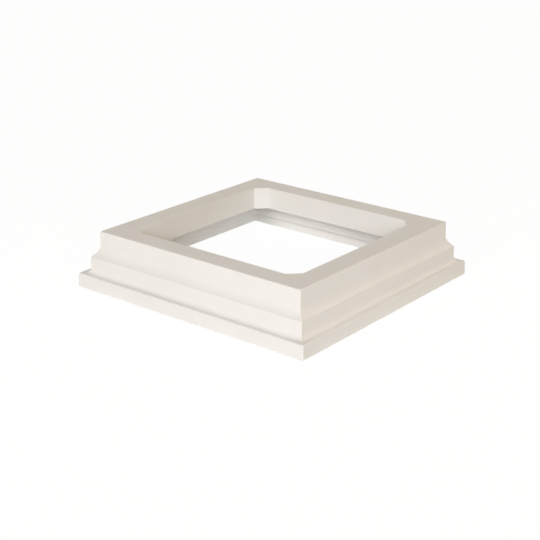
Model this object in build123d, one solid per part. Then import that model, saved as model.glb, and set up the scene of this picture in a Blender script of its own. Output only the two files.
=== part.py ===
from build123d import *
import math
import os

# A moulded skirt that slides down a square post sleeve and covers the post's foot.
# Millimetres, +Z up, origin at the centre of the footprint on the deck.

# Square post sleeve with eased corners, which the skirt closes round
sleeve_side = 114.3
sleeve_corner_leg = 5.7
sleeve_clearance = 1.35

# Whole moulding
skirt_height = 33.5
rim_width = 13.6
wall = 2.2
draft_deg = 1.6

# Collar that guides the sleeve, measured down from the top
collar_depth = 14.0
collar_wall = 2.0

# Cove band, a hollow curve under the plain upper band, which leans from the first angle to the second
upper_band = 9.75
cove_radius = 9.0
cove_start_deg = 13.0
cove_end_deg = 56.0

# Flange that stands on the deck
flange_height = 8.5
flange_reach = 9.4
flange_draft_deg = 1.6
foot_radius = 2.9
hollow_foot_radius = 2.6

# Small roundings left by the mould
mitre_round = 0.5
rim_round = 0.8
flange_round = 0.7
deck_round = 0.3
mouth_round = 0.5
collar_round = 0.4

# Worked out from the sizes above
opening_side = sleeve_side + 2 * sleeve_clearance
top_half = opening_side / 2 + rim_width
draft = math.radians(draft_deg)
flange_draft = math.radians(flange_draft_deg)
cove_start = math.radians(cove_start_deg)
cove_end = math.radians(cove_end_deg)
cove_top = skirt_height - upper_band
outward = (math.cos(draft), math.sin(draft))
rise_clear = 5.0
beyond = 2 * (top_half + flange_reach)


def across(normal_angle, point):
    # Distance of a point along a wall's outward normal
    return point[0] * math.cos(normal_angle) + point[1] * math.sin(normal_angle)


def wall_half(offset, height):
    # Half width of a drafted wall plane, a given distance along its normal, at a height
    return (offset - height * outward[1]) / outward[0]


def arc_point(centre, radius, angle):
    # Point of a hollow curve, whose centre lies outside the moulding
    return (centre[0] - radius * math.cos(angle), centre[1] - radius * math.sin(angle))


def hollow_arc(centre, radius, start, end):
    # Hollow curve in the section, from a steep start to a flatter end
    middle = (start + end) / 2
    points = [arc_point(centre, radius, angle) for angle in (start, middle, end)]
    return ThreePointArc(*points)


def bell_solid(edges, low, high):
    # Square solid whose half width follows a section: the section pushed through along
    # X and along Y, and what both share, which leaves true mitres at the four corners
    right_side = Curve() + edges
    left_side = mirror(right_side, about=Plane.YZ)
    top_line = Line((-high[0], high[1]), high)
    bottom_line = Line((-low[0], low[1]), low)
    section = make_face(right_side + left_side + top_line + bottom_line)
    along_y = extrude(Plane.XZ * section, amount=beyond, both=True)
    along_x = Rot(0, 0, 90) * along_y
    return along_x & along_y


# Planes of the upper band and of the short fillet under the cove, along the draft normal
upper_offset = across(draft, (top_half, skirt_height))
cove_centre = (
    wall_half(upper_offset, cove_top) + cove_radius * math.cos(cove_start),
    cove_top + cove_radius * math.sin(cove_start),
)
cove_corner = arc_point(cove_centre, cove_radius, cove_end)
fillet_offset = across(draft, cove_corner)


def cove_meeting(angle, depth):
    # Angle at which the cove, a depth further into the wall, meets the wall that it meets outside
    cosine = (cove_radius * math.cos(angle - draft) + depth) / (cove_radius + depth)
    return draft + math.acos(cosine)


def foot_centre(offset, level, radius):
    # Centre of the rounding that joins the fillet's wall to the level flange
    height = level + radius
    return (wall_half(offset + radius, height), height)


def flange_half(inset, height):
    # Half width of the flange's outer wall, set in by a wall thickness
    slope = math.tan(flange_draft)
    return top_half + flange_reach + (flange_height - height) * slope - inset / math.cos(flange_draft)


def outer_solid():
    # Outside of the moulding, as if it were solid
    foot = foot_centre(fillet_offset, flange_height, foot_radius)
    rim_corner = (top_half, skirt_height)
    flange_edge = (flange_half(0, flange_height), flange_height)
    deck_edge = (flange_half(0, 0), 0)
    edges = [
        Line(rim_corner, arc_point(cove_centre, cove_radius, cove_start)),
        hollow_arc(cove_centre, cove_radius, cove_start, cove_end),
        Line(cove_corner, arc_point(foot, foot_radius, draft)),
        hollow_arc(foot, foot_radius, draft, math.pi / 2),
        Line(arc_point(foot, foot_radius, math.pi / 2), flange_edge),
        Line(flange_edge, deck_edge),
    ]
    return bell_solid(edges, deck_edge, rim_corner)


def hollow_solid():
    # Inside of the moulding, one wall thickness in from the outside, open at the deck
    ceiling = skirt_height - wall
    floor = flange_height - wall
    radius = cove_radius + wall
    inner_start = cove_meeting(cove_start, wall)
    inner_end = cove_meeting(cove_end, wall)
    foot = foot_centre(fillet_offset - wall, floor, hollow_foot_radius)
    roof_corner = (wall_half(upper_offset - wall, ceiling), ceiling)
    flange_corner = (flange_half(wall, floor), floor)
    mouth_corner = (flange_half(wall, -rise_clear), -rise_clear)
    edges = [
        Line(roof_corner, arc_point(cove_centre, radius, inner_start)),
        hollow_arc(cove_centre, radius, inner_start, inner_end),
        Line(arc_point(cove_centre, radius, inner_end), arc_point(foot, hollow_foot_radius, draft)),
        hollow_arc(foot, hollow_foot_radius, draft, math.pi / 2),
        Line(arc_point(foot, hollow_foot_radius, math.pi / 2), flange_corner),
        Line(flange_corner, mouth_corner),
    ]
    return bell_solid(edges, mouth_corner, roof_corner)


def sleeve_outline(spread):
    # Plan of the post sleeve, a square with its corners cut at 45 degrees, spread outwards
    square = Rectangle(sleeve_side, sleeve_side)
    plan = chamfer(square.vertices(), length=sleeve_corner_leg)
    return offset(plan, amount=spread, kind=Kind.INTERSECTION)


def level_edges(solid, height, inside, outside):
    # Level edges at one height, between two distances from the axis
    found = ShapeList()
    for edge in solid.edges():
        places = [edge @ 0.0, edge @ 0.5, edge @ 1.0]
        level = all(abs(place.Z - height) < 0.01 for place in places)
        reach = max(abs(places[1].X), abs(places[1].Y))
        if level and inside < reach < outside:
            found.append(edge)
    return found


def mitre_edges(solid):
    # Rising edges along the four outer corners
    found = ShapeList()
    for edge in solid.edges():
        middle = edge @ 0.5
        rises = abs((edge @ 0.0).Z - (edge @ 1.0).Z) > 0.1
        if rises and abs(abs(middle.X) - abs(middle.Y)) < 0.01:
            found.append(edge)
    return found


def eased_outside():
    # Outside with every edge that the mould leaves slightly round
    body = outer_solid()
    body = fillet(mitre_edges(body), mitre_round)
    near = rim_width / 4
    body = fillet(level_edges(body, skirt_height, top_half - near, top_half + near), rim_round)
    edge = flange_half(0, flange_height)
    body = fillet(level_edges(body, flange_height, edge - near, edge + near), flange_round)
    return body


def post_skirt():
    # The whole moulding: hollow shell, collar under the rim, opening through both
    collar_floor = skirt_height - collar_depth
    tube_plan = Pos(0, 0, collar_floor) * sleeve_outline(sleeve_clearance + collar_wall)
    tube = extrude(tube_plan, amount=collar_depth - wall / 2)
    passage_plan = Pos(0, 0, -rise_clear) * sleeve_outline(sleeve_clearance)
    passage = extrude(passage_plan, amount=skirt_height + 2 * rise_clear)
    body = eased_outside() - hollow_solid() + tube - passage
    mouth = opening_side / 2
    body = fillet(level_edges(body, skirt_height, mouth - rim_width / 2, mouth + rim_width / 2), mouth_round)
    body = fillet(level_edges(body, collar_floor, 0, top_half), collar_round)
    body = fillet(level_edges(body, 0, top_half, beyond), deck_round)
    return body


os.makedirs("parts", exist_ok=True)
skirt = post_skirt()
skirt.label = "post_skirt"
export_step(skirt, "parts/post_skirt.step")
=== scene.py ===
import bpy
import math
from mathutils import Matrix, Vector

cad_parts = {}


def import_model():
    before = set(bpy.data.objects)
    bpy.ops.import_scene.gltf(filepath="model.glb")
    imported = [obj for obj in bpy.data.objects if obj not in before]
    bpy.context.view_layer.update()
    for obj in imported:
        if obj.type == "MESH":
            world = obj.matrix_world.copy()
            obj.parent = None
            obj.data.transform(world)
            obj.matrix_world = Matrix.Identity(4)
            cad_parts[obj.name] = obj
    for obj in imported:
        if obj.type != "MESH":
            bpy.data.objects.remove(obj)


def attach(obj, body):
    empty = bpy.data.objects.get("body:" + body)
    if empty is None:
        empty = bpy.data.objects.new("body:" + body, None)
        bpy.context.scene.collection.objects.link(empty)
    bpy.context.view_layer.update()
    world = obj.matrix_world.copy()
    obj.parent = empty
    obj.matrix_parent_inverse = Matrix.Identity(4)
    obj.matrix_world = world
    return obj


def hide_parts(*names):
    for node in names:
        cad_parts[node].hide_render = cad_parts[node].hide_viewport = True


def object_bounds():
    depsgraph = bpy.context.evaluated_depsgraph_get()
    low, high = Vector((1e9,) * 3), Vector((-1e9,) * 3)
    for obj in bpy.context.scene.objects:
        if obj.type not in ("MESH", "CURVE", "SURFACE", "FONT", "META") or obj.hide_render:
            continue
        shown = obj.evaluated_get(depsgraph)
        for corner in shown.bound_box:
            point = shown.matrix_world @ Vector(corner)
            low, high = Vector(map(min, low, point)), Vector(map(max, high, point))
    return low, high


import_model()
cad_low, cad_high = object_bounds()

# A moulded skirt that covers the foot of a square post sleeve, in metres, with its origin on the deck
MM = 0.001

# Opening, which clears the post sleeve
sleeve_side = 114.3 * MM
sleeve_corner_leg = 5.7 * MM
sleeve_clearance = 1.35 * MM

# Whole moulding
skirt_height = cad_high.z
rim_width = 13.6 * MM
wall = 2.2 * MM
draft = math.radians(1.6)

# Collar that guides the sleeve
collar_depth = 14.0 * MM
collar_wall = 2.0 * MM

# Cove band under the plain upper band, which leans from the first angle to the second
upper_band = 9.75 * MM
cove_radius = 9.0 * MM
cove_start = math.radians(13.0)
cove_end = math.radians(56.0)

# Flange on the deck
flange_height = 8.5 * MM
flange_reach = 9.4 * MM
flange_draft = math.radians(1.6)
foot_radius = 2.9 * MM
hollow_foot_radius = 2.6 * MM

# Small roundings left by the mould
mitre_round = 0.5 * MM
rim_round = 0.5 * MM
nosing_round = 0.3 * MM
flange_round = 0.7 * MM
deck_round = 0.3 * MM
mouth_round = 0.4 * MM
collar_round = 0.4 * MM
hollow_round = 0.3 * MM

# How finely the mesh follows the roundings. A wide one, such as the cove, gets more points
rounding_points = 4
wide_rounding = 2 * MM
wide_times_finer = 4
corner_points = 7
sharp_from = math.radians(32)
weld_gap = 0.002 * MM

# Soft square lamps: how far from the part they stand, and how wide they are
lamp_distance = 2.2
lamp_side = 0.9

# Worked out from the sizes above
opening_half = sleeve_side / 2 + sleeve_clearance
diagonal_growth = 2 - math.sqrt(2)
opening_corner_leg = sleeve_corner_leg + sleeve_clearance * diagonal_growth
top_half = opening_half + rim_width


def linear(hex_colour):
    """Linear red, green and blue of an sRGB hex colour."""
    values = [int(hex_colour[i : i + 2], 16) / 255 for i in (1, 3, 5)]
    return [v / 12.92 if v <= 0.04045 else ((v + 0.055) / 1.055) ** 2.4 for v in values]


def add(tree, kind, links=(), **settings):
    """A new node with its settings, and its inputs set or linked by name or number."""
    node = tree.nodes.new(kind)
    for key, value in settings.items():
        setattr(node, key, value)
    for key, value in dict(links).items():
        if isinstance(value, bpy.types.NodeSocket):
            tree.links.new(value, node.inputs[key])
        else:
            node.inputs[key].default_value = value
    return node


def band_wall_half(height, depth):
    """Half width of the upper band's drafted wall, a depth inside its face."""
    return top_half + (skirt_height - height) * math.tan(draft) - depth / math.cos(draft)


def ray(angle):
    """Unit step in the section, outwards and up."""
    return Vector((math.cos(angle), math.sin(angle)))


def cove_corners(depth, edge_round):
    """Start of the cove, crossing of its end tangents, and the edge at its end, a depth inside the face."""
    radius = cove_radius + depth
    top = skirt_height - upper_band
    centre = Vector((band_wall_half(top, 0), top)) + cove_radius * ray(cove_start)
    leans = []
    for angle in (cove_start, cove_end):
        cosine = (cove_radius * math.cos(angle - draft) + depth) / radius
        leans.append(draft + math.acos(cosine))
    middle = sum(leans) / 2
    start = centre - radius * ray(leans[0])
    cross = centre - radius / math.cos(middle - leans[0]) * ray(middle)
    end = centre - radius * ray(leans[1])
    run = edge_round * math.tan((leans[1] - draft) / 2)
    edge = end + run * ray(leans[1] - math.pi / 2)
    return start, cross, edge


def section_corners():
    """Corners of the closed section: half width, height, rounding, rounding of the mitre, cut corner or not.

    They run from the opening's mouth over the rim, down the outside, and back up inside."""
    floor = flange_height - wall
    ceiling = skirt_height - wall
    collar_floor = skirt_height - collar_depth
    collar_half = opening_half + collar_wall
    cove_top, cove, nosing = cove_corners(0, nosing_round)
    hollow_cove_top, hollow_cove, hollow_nosing = cove_corners(wall, 0)
    foot = nosing[0] + (nosing[1] - flange_height) * math.tan(draft)
    hollow_foot = nosing[0] + (nosing[1] - floor) * math.tan(draft) - wall / math.cos(draft)
    flange = top_half + flange_reach
    deck = flange + flange_height * math.tan(flange_draft)
    lip = wall / math.cos(flange_draft)
    hollow_flange = flange + wall * math.tan(flange_draft) - lip
    return [
        (opening_half, skirt_height, mouth_round, 0, 1),
        (top_half, skirt_height, rim_round, mitre_round, 0),
        (*cove_top, 0, mitre_round, 0),
        (*cove, cove_radius, mitre_round, 0),
        (*nosing, nosing_round, mitre_round, 0),
        (foot, flange_height, foot_radius, mitre_round, 0),
        (flange, flange_height, flange_round, mitre_round, 0),
        (deck, 0, deck_round, mitre_round, 0),
        (deck - lip, 0, deck_round, 0, 0),
        (hollow_flange, floor, hollow_round, 0, 0),
        (hollow_foot, floor, hollow_foot_radius, 0, 0),
        (*hollow_nosing, 0, 0, 0),
        (*hollow_cove, cove_radius + wall, 0, 0),
        (*hollow_cove_top, 0, 0, 0),
        (band_wall_half(ceiling, wall), ceiling, hollow_round, 0, 0),
        (collar_half, ceiling, hollow_round, 0, 1),
        (collar_half, collar_floor, collar_round, 0, 1),
        (opening_half, collar_floor, collar_round, 0, 1),
    ]


def section_mesh():
    """The section as a closed loop of edges, with what its roundings and mitres need on its points."""
    corners = section_corners()
    count = len(corners)
    mesh = bpy.data.meshes.new("section")
    points = [(corner[0], 0, corner[1]) for corner in corners]
    mesh.from_pydata(points, [(i, (i + 1) % count) for i in range(count)], [])
    for place, name in enumerate(("rounding", "mitre", "cut"), start=2):
        attribute = mesh.attributes.new(name, "FLOAT", "POINT")
        attribute.data.foreach_set("value", [float(corner[place]) for corner in corners])
    return mesh


def skirt_tree():
    """Carries a section round a square plan whose corners are rounded mitres, or cut at 45 degrees.

    A grid is bent into a ring: one way round it is the section, the other way is the plan."""
    tree = bpy.data.node_groups.new("moulded_ring", "GeometryNodeTree")
    face = tree.interface
    face.new_socket("Section", in_out="INPUT", socket_type="NodeSocketGeometry")
    face.new_socket("Ring", in_out="OUTPUT", socket_type="NodeSocketGeometry")
    for name, kind in (
        ("Opening half width", "NodeSocketFloat"),
        ("Opening corner leg", "NodeSocketFloat"),
        ("Points in a rounding", "NodeSocketInt"),
        ("Points round a corner", "NodeSocketInt"),
        ("Sharp from angle", "NodeSocketFloat"),
        ("Material", "NodeSocketMaterial"),
    ):
        face.new_socket(name, in_out="INPUT", socket_type=kind)
    given = add(tree, "NodeGroupInput").outputs

    # The section with its roundings, as a closed curve whose wide roundings have more points
    loop = add(tree, "GeometryNodeMeshToCurve", {"Mesh": given["Section"]})
    rounding = add(tree, "GeometryNodeInputNamedAttribute", {"Name": "rounding"}, data_type="FLOAT")
    links = {0: rounding.outputs[0], 1: wide_rounding}
    wide = add(tree, "FunctionNodeCompare", links, operation="GREATER_THAN")
    links = {0: wide.outputs[0], 1: wide_times_finer - 1, 2: 1}
    finer = add(tree, "ShaderNodeMath", links, operation="MULTIPLY_ADD")
    links = {0: finer.outputs[0], 1: given["Points in a rounding"]}
    points = add(tree, "ShaderNodeMath", links, operation="MULTIPLY")
    links = {"Curve": loop.outputs[0], "Count": points.outputs[0], "Radius": rounding.outputs[0]}
    section = add(tree, "GeometryNodeFilletCurve", {**links, "Limit Radius": True}, mode="POLY")
    size = add(tree, "GeometryNodeAttributeDomainSize", {"Geometry": section.outputs[0]}, component="CURVE")

    # A grid with one row for each point of the section, and one column for each point of the plan
    rows = size.outputs["Point Count"]
    quarter = given["Points round a corner"]
    columns = add(tree, "ShaderNodeMath", {0: quarter, 1: 4.0}, operation="MULTIPLY").outputs[0]
    rows_closed = add(tree, "ShaderNodeMath", {0: rows, 1: 1.0}, operation="ADD").outputs[0]
    columns_closed = add(tree, "ShaderNodeMath", {0: columns, 1: 1.0}, operation="ADD").outputs[0]
    grid = add(tree, "GeometryNodeMeshGrid", {"Vertices X": rows_closed, "Vertices Y": columns_closed})
    index = add(tree, "GeometryNodeInputIndex").outputs[0]
    row = add(tree, "ShaderNodeMath", {0: index, 1: columns_closed}, operation="DIVIDE").outputs[0]
    row = add(tree, "ShaderNodeMath", {0: row}, operation="FLOOR").outputs[0]
    row = add(tree, "ShaderNodeMath", {0: row, 1: rows}, operation="MODULO").outputs[0]
    column = add(tree, "ShaderNodeMath", {0: index, 1: columns_closed}, operation="MODULO").outputs[0]
    column = add(tree, "ShaderNodeMath", {0: column, 1: columns}, operation="MODULO").outputs[0]
    turn = add(tree, "ShaderNodeMath", {0: column, 1: quarter}, operation="DIVIDE").outputs[0]
    turn = add(tree, "ShaderNodeMath", {0: turn}, operation="FLOOR").outputs[0]
    step = add(tree, "ShaderNodeMath", {0: column, 1: quarter}, operation="MODULO").outputs[0]
    last = add(tree, "ShaderNodeMath", {0: quarter, 1: 1.0}, operation="SUBTRACT").outputs[0]
    share = add(tree, "ShaderNodeMath", {0: step, 1: last}, operation="DIVIDE").outputs[0]

    # What the section says at this row
    def sampled(value, kind):
        links = {"Geometry": section.outputs[0], "Value": value, "Index": row}
        return add(tree, "GeometryNodeSampleIndex", links, data_type=kind, domain="POINT").outputs[0]

    place = sampled(add(tree, "GeometryNodeInputPosition").outputs[0], "FLOAT_VECTOR")
    place = add(tree, "ShaderNodeSeparateXYZ", {0: place}).outputs
    half, height = place["X"], place["Z"]
    mitre = add(tree, "GeometryNodeInputNamedAttribute", {"Name": "mitre"}, data_type="FLOAT").outputs[0]
    mitre = sampled(mitre, "FLOAT")
    cut = add(tree, "GeometryNodeInputNamedAttribute", {"Name": "cut"}, data_type="FLOAT").outputs[0]
    cut = sampled(cut, "FLOAT")

    # A rounded mitre: a quarter turn about a centre set in from the corner
    angle = add(tree, "ShaderNodeMath", {0: share, 1: math.pi / 2}, operation="MULTIPLY").outputs[0]
    centre = add(tree, "ShaderNodeMath", {0: half, 1: mitre}, operation="SUBTRACT").outputs[0]
    across = add(tree, "ShaderNodeMath", {0: angle}, operation="COSINE").outputs[0]
    links = {0: mitre, 1: across, 2: centre}
    across = add(tree, "ShaderNodeMath", links, operation="MULTIPLY_ADD").outputs[0]
    along = add(tree, "ShaderNodeMath", {0: angle}, operation="SINE").outputs[0]
    links = {0: mitre, 1: along, 2: centre}
    along = add(tree, "ShaderNodeMath", links, operation="MULTIPLY_ADD").outputs[0]
    rounded = add(tree, "ShaderNodeCombineXYZ", {"X": across, "Y": along, "Z": height}).outputs[0]

    # A cut corner: its leg grows as the plan spreads, so every side moves out alike
    links = {0: half, 1: given["Opening half width"]}
    spread = add(tree, "ShaderNodeMath", links, operation="SUBTRACT").outputs[0]
    links = {0: spread, 1: diagonal_growth, 2: given["Opening corner leg"]}
    leg = add(tree, "ShaderNodeMath", links, operation="MULTIPLY_ADD").outputs[0]
    inwards = add(tree, "ShaderNodeMath", {0: leg, 1: share}, operation="MULTIPLY").outputs[0]
    inwards = add(tree, "ShaderNodeMath", {0: half, 1: inwards}, operation="SUBTRACT").outputs[0]
    left = add(tree, "ShaderNodeMath", {0: 1.0, 1: share}, operation="SUBTRACT").outputs[0]
    left = add(tree, "ShaderNodeMath", {0: leg, 1: left}, operation="MULTIPLY").outputs[0]
    left = add(tree, "ShaderNodeMath", {0: half, 1: left}, operation="SUBTRACT").outputs[0]
    bevelled = add(tree, "ShaderNodeCombineXYZ", {"X": inwards, "Y": left, "Z": height}).outputs[0]

    # The corner, turned to its own quarter of the plan
    links = {"Factor": cut, 4: rounded, 5: bevelled}
    corner = add(tree, "ShaderNodeMix", links, data_type="VECTOR").outputs[1]
    turned = add(tree, "ShaderNodeMath", {0: turn, 1: math.pi / 2}, operation="MULTIPLY").outputs[0]
    links = {"Vector": corner, "Angle": turned}
    place = add(tree, "ShaderNodeVectorRotate", links, rotation_type="Z_AXIS").outputs[0]
    bent = add(tree, "GeometryNodeSetPosition", {"Geometry": grid.outputs["Mesh"], "Position": place})
    closed = add(tree, "GeometryNodeMergeByDistance", {"Geometry": bent.outputs[0], "Distance": weld_gap})

    # Smooth roundings and crisp edges
    smooth = add(tree, "GeometryNodeSetShadeSmooth", {"Geometry": closed.outputs[0], "Shade Smooth": True})
    fold = add(tree, "GeometryNodeInputMeshEdgeAngle").outputs["Unsigned Angle"]
    links = {0: fold, 1: given["Sharp from angle"]}
    crisp = add(tree, "FunctionNodeCompare", links, operation="GREATER_THAN").outputs[0]
    links = {"Geometry": smooth.outputs[0], "Selection": crisp, "Shade Smooth": False}
    edged = add(tree, "GeometryNodeSetShadeSmooth", links, domain="EDGE")
    real = add(tree, "GeometryNodeRealizeInstances", {"Geometry": edged.outputs[0]})
    links = {"Geometry": real.outputs[0], "Material": given["Material"]}
    dressed = add(tree, "GeometryNodeSetMaterial", links)
    add(tree, "NodeGroupOutput", {"Ring": dressed.outputs[0]})
    return tree


def set_inputs(modifier, values):
    """Sets a geometry modifier's inputs by their sockets' identifiers."""
    for socket in modifier.node_group.interface.items_tree:
        if socket.in_out == "INPUT" and socket.name in values:
            modifier[socket.identifier] = values[socket.name]


def plain_mesh(piece, name):
    """A new object that holds what a piece's modifiers make of it."""
    depsgraph = bpy.context.evaluated_depsgraph_get()
    mesh = bpy.data.meshes.new_from_object(piece.evaluated_get(depsgraph))
    mesh.name = name
    bpy.data.objects.remove(piece)
    made = bpy.data.objects.new(name, mesh)
    bpy.context.collection.objects.link(made)
    return made


def skirt(material):
    """The whole moulding as one closed mesh."""
    draft_piece = bpy.data.objects.new("section", section_mesh())
    bpy.context.collection.objects.link(draft_piece)
    ring = draft_piece.modifiers.new("ring", "NODES")
    ring.node_group = skirt_tree()
    set_inputs(
        ring,
        {
            "Opening half width": opening_half,
            "Opening corner leg": opening_corner_leg,
            "Points in a rounding": rounding_points,
            "Points round a corner": corner_points,
            "Sharp from angle": sharp_from,
            "Material": material,
        },
    )
    flat = draft_piece.modifiers.new("flat faces stay flat", "WEIGHTED_NORMAL")
    flat.mode = "FACE_AREA"
    flat.weight = 100
    flat.keep_sharp = True
    return plain_mesh(draft_piece, "moulded_skirt")


def moulded_polymer():
    """White exterior polymer, injection moulded in a lightly blasted mould, which leaves a satin face."""
    grain_size = 0.6 * MM
    grain_depth = 0.008 * MM
    flow_size = 22 * MM
    shade_size = 60 * MM
    shades = ((0.35, "#F5F3EF"), (0.65, "#F9F7F4"))
    smoothest, roughest = 0.38, 0.48
    material = bpy.data.materials.new("moulded_satin_polymer")
    material.use_nodes = True
    tree = material.node_tree
    shader = tree.nodes["Principled BSDF"]
    # Refraction of a rigid vinyl or styrene polymer
    shader.inputs["IOR"].default_value = 1.52
    place = add(tree, "ShaderNodeTexCoord").outputs["Object"]

    # White pigment with a warm cast, a little uneven from the melt: no face is quite one white
    links = {"Vector": place, "Scale": 1 / shade_size, "Detail": 3.0, "Roughness": 0.5}
    clouds = add(tree, "ShaderNodeTexNoise", links).outputs[0]
    shade = add(tree, "ShaderNodeValToRGB", {0: clouds})
    for stop, (position, colour) in zip(shade.color_ramp.elements, shades):
        stop.position = position
        stop.color = [*linear(colour), 1]
    tree.links.new(shade.outputs[0], shader.inputs["Base Color"])

    # Satin sheen that changes softly along the flow of the melt, so highlights are not even
    links = {"Vector": place, "Scale": 1 / flow_size, "Detail": 2.0, "Roughness": 0.55}
    flow = add(tree, "ShaderNodeTexNoise", links).outputs[0]
    links = {"Value": flow, "From Min": 0.3, "From Max": 0.7, "To Min": smoothest, "To Max": roughest}
    sheen = add(tree, "ShaderNodeMapRange", links).outputs[0]
    tree.links.new(sheen, shader.inputs["Roughness"])

    # Blasted grain. It is 0.1 mm across in the mould, too fine for a picture, so it is drawn coarser
    links = {"Vector": place, "Scale": 1 / grain_size, "Detail": 2.0, "Roughness": 0.6}
    grain = add(tree, "ShaderNodeTexNoise", links).outputs[0]
    relief = add(tree, "ShaderNodeBump", {"Height": grain, "Strength": 1.0, "Distance": grain_depth})
    tree.links.new(relief.outputs[0], shader.inputs["Normal"])
    return material


def seen_rays(tree):
    """1 for rays that look at a thing, straight, mirrored or through glass, and 0 for rays of light."""
    path = add(tree, "ShaderNodeLightPath").outputs
    links = {0: path["Is Camera Ray"], 1: path["Is Glossy Ray"]}
    seen = add(tree, "ShaderNodeMath", links, operation="MAXIMUM").outputs[0]
    links = {0: seen, 1: path["Is Transmission Ray"]}
    return add(tree, "ShaderNodeMath", links, operation="MAXIMUM").outputs[0]


def table_top():
    """Pale matt table, which looks white and keeps a faint shadow of the part."""
    half = 3.0
    white_strength = 1.03
    white_share = 0.93
    material = bpy.data.materials.new("pale_matt_table")
    material.use_nodes = True
    tree = material.node_tree
    tree.nodes.remove(tree.nodes["Principled BSDF"])
    matt = add(tree, "ShaderNodeBsdfDiffuse", {"Color": [*linear("#FAFAFA"), 1]}).outputs[0]
    white = add(tree, "ShaderNodeEmission", {"Color": (1, 1, 1, 1), "Strength": white_strength}).outputs[0]
    # What is seen is mostly plain white, and the rest is the lit table with the shadow on it
    links = {0: seen_rays(tree), 1: white_share}
    share = add(tree, "ShaderNodeMath", links, operation="MULTIPLY").outputs[0]
    mixed = add(tree, "ShaderNodeMixShader", {0: share, 1: matt, 2: white}).outputs[0]
    tree.links.new(mixed, tree.nodes["Material Output"].inputs["Surface"])
    corners = [(-half, -half, 0), (half, -half, 0), (half, half, 0), (-half, half, 0)]
    mesh = bpy.data.meshes.new("floor")
    mesh.from_pydata(corners, [], [(0, 1, 2, 3)])
    mesh.materials.append(material)
    floor = bpy.data.objects.new("floor", mesh)
    bpy.context.collection.objects.link(floor)


def lamp(name, azimuth, elevation, power, colour):
    """A soft square lamp that looks at the part. Azimuth 0 is the front, and 90 the right side."""
    data = bpy.data.lights.new(name, "AREA")
    data.shape = "SQUARE"
    data.size = lamp_side
    data.energy = power
    data.color = linear(colour)
    around, up = math.radians(azimuth), math.radians(elevation)
    away = Vector((math.sin(around) * math.cos(up), -math.cos(around) * math.cos(up), math.sin(up)))
    made = bpy.data.objects.new(name, data)
    made.location = away * lamp_distance
    made.rotation_mode = "QUATERNION"
    made.rotation_quaternion = away.to_track_quat("Z", "Y")
    bpy.context.collection.objects.link(made)


def camera():
    """The photograph's own view, from above the front corner, with a long lens."""
    turn = math.radians(38.06)
    down = math.radians(20.54)
    roll = math.radians(-0.62)
    focal_pixels = 1217
    picture_pixels = 540
    # How far right of, below and in front of the camera the part's origin lies
    offset = Vector((3.16, 5.82, 723.53)) * MM
    level = Vector((-math.sin(turn), math.cos(turn), 0))
    forward = math.cos(down) * level + Vector((0, 0, -math.sin(down)))
    right = Vector((math.cos(turn), math.sin(turn), 0))
    below = forward.cross(right)
    across = math.cos(roll) * right + math.sin(roll) * below
    lower = -math.sin(roll) * right + math.cos(roll) * below
    data = bpy.data.cameras.new("camera")
    data.sensor_width = 36
    data.lens = focal_pixels / picture_pixels * data.sensor_width
    made = bpy.data.objects.new("camera", data)
    place = -(offset.x * across + offset.y * lower + offset.z * forward)
    axes = Matrix((across, -lower, -forward)).transposed().to_4x4()
    made.matrix_world = Matrix.Translation(place) @ axes
    bpy.context.collection.objects.link(made)
    bpy.context.scene.camera = made


def world():
    """A dim warm room, brightest a little above the horizon. Looked at, it is plain white."""
    room_strength = 0.5
    brightness = ((0.1, 0.1), (0.3, 1.0), (0.45, 1.0), (0.6, 0.1))
    made = bpy.data.worlds.new("studio")
    made.use_nodes = True
    tree = made.node_tree
    room = tree.nodes["Background"]
    upward = add(tree, "ShaderNodeTexCoord").outputs["Generated"]
    upward = add(tree, "ShaderNodeSeparateXYZ", {0: upward}).outputs["Z"]
    walls = add(tree, "ShaderNodeValToRGB", {0: upward})
    # From the horizon at 0 to straight up at 1
    stops = walls.color_ramp.elements
    while len(stops) < len(brightness):
        stops.new(0.5)
    for stop, (place, level) in zip(stops, brightness):
        stop.position = place
        stop.color = [level * part for part in linear("#FFE8C8")] + [1]
    tree.links.new(walls.outputs[0], room.inputs["Color"])
    room.inputs["Strength"].default_value = room_strength
    white = add(tree, "ShaderNodeBackground", {"Color": (1, 1, 1, 1), "Strength": 1.0}).outputs[0]
    links = {0: seen_rays(tree), 1: room.outputs[0], 2: white}
    mixed = add(tree, "ShaderNodeMixShader", links).outputs[0]
    tree.links.new(mixed, tree.nodes["World Output"].inputs["Surface"])
    bpy.context.scene.world = made


polymer = moulded_polymer()
piece = skirt(polymer)
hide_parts("post_skirt")
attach(piece, "root")
table_top()
world()
lamp("front", 8, 25, 17.8, "#FBFDFF")
lamp("corner", 48, 22, 17.0, "#FBFDFF")
lamp("back", 155, 42, 6.2, "#FFDCAC")
lamp("back_fill", 186, 10, 6.5, "#FFF6EC")
lamp("side_fill", 264, 10, 6.5, "#FFF6EC")
camera()
bpy.context.scene.view_settings.view_transform = "Standard"
